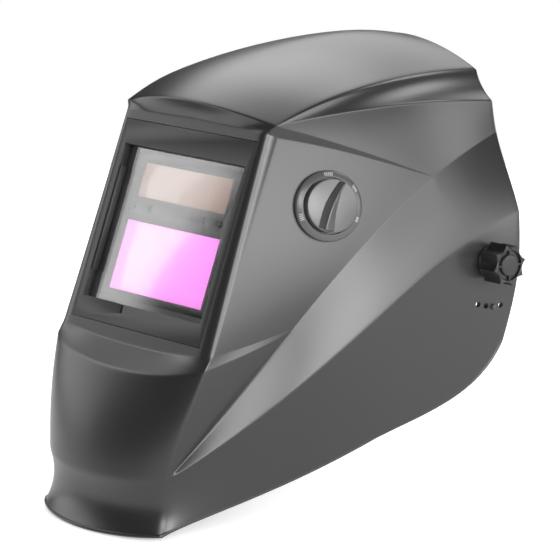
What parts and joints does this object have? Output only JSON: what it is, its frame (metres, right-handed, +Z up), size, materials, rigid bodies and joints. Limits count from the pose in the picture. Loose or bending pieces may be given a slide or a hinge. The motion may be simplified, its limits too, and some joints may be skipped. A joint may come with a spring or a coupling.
{
  "type": "welding helmet",
  "caption": "Flip-up welding helmet with a faceted moulded shell, auto-darkening filter window, side shade dial and ratchet headgear.",
  "frame": {"origin": "middle of the pivot axis between the two star knobs, which is also about the middle of the wearer's head", "axes": "+X to the wearer's left, along the pivot axis; -Y ahead, out of the window; +Z up"},
  "size_m": [0.262, 0.3193, 0.2759],
  "materials": {
    "shell_plastic": "satin",
    "frame_plastic": "satin",
    "clear_lens": "clear gloss",
    "lcd_glass": "coated gloss",
    "solar_glass": "gloss",
    "sensor_glass": "gloss",
    "dial_plastic": "satin",
    "knob_plastic": "satin",
    "headgear_plastic": "satin",
    "cable_jacket": "matte",
    "metal": "zinc plated",
    "pad_fabric": "perforated foam"
  },
  "bodies": {
    "headgear": {"front_headband": "headgear_plastic", "sweatband": "pad_fabric", "side_arm_left": "headgear_plastic", "side_arm_right": "headgear_plastic", "pivot_stud_left": "metal", "pivot_stud_right": "metal", "friction_washer_left": "knob_plastic", "friction_washer_right": "knob_plastic", "strap_left": "headgear_plastic", "strap_right": "headgear_plastic"},
    "helmet": {"shell": "shell_plastic", "lens_frame": "frame_plastic", "cover_lens": "clear_lens", "filter_case": "frame_plastic", "lcd_panel": "lcd_glass", "solar_cell": "solar_glass", "arc_sensors": "sensor_glass", "inner_lens": "clear_lens", "battery_cover": "frame_plastic", "dial_ring": "dial_plastic", "dial_nut": "metal", "dial_pot": "metal", "dial_cable": "cable_jacket", "tilt_stop_left": "headgear_plastic", "tilt_stop_right": "headgear_plastic"},
    "dial": {"shade_dial": "dial_plastic"},
    "sensitivity": {"sensitivity_knob": "knob_plastic"},
    "delay": {"delay_knob": "knob_plastic"},
    "lens_retainer": {"retainer": "frame_plastic"},
    "left_star": {"star_knob_left": "knob_plastic"},
    "right_star": {"star_knob_right": "knob_plastic"},
    "rear": {"rear_band": "headgear_plastic", "rear_pad": "pad_fabric", "ratchet_housing": "headgear_plastic"},
    "ratchet": {"size_knob": "knob_plastic"}
  },
  "joints": [
    {"name": "helmet_flip", "type": "hinge", "parent": "headgear", "child": "helmet", "pos_m": [0, 0, 0], "axis": [-1, 0, 0], "range_deg": [0, 60]},
    {"name": "shade_dial_turn", "type": "hinge", "parent": "helmet", "child": "dial", "pos_m": [0.08528, -0.0998, 0.039], "axis": [0.9436, -0.2863, 0.1662], "range_deg": [-130, 130]},
    {"name": "sensitivity_turn", "type": "hinge", "parent": "helmet", "child": "sensitivity", "pos_m": [-0.022, -0.12855, 0.03907], "axis": [0, 0.9397, -0.342], "range_deg": [0, 270]},
    {"name": "delay_turn", "type": "hinge", "parent": "helmet", "child": "delay", "pos_m": [0.008, -0.12855, 0.03907], "axis": [0, 0.9397, -0.342], "range_deg": [0, 270]},
    {"name": "retainer_open", "type": "hinge", "parent": "helmet", "child": "lens_retainer", "pos_m": [0, -0.15415, -0.03621], "axis": [-1, 0, 0], "range_deg": [0, 15]},
    {"name": "left_star_turn", "type": "hinge", "parent": "headgear", "child": "left_star", "pos_m": [0.12, 0, 0], "axis": [1, 0, 0], "continuous": true},
    {"name": "right_star_turn", "type": "hinge", "parent": "headgear", "child": "right_star", "pos_m": [-0.12, 0, 0], "axis": [-1, 0, 0], "continuous": true},
    {"name": "band_size_slide", "type": "slide", "parent": "headgear", "child": "rear", "axis": [0, 0.9781, -0.2079], "range_m": [0, 0.016]},
    {"name": "size_knob_turn", "type": "hinge", "parent": "rear", "child": "ratchet", "pos_m": [0, 0.08803, -0.00671], "axis": [0, 0.9781, -0.2079], "range_deg": [0, 190]}
  ],
  "couplings": [
    {"joint": "size_knob_turn", "follows": "band_size_slide", "rad_per_m": 200}
  ]
}
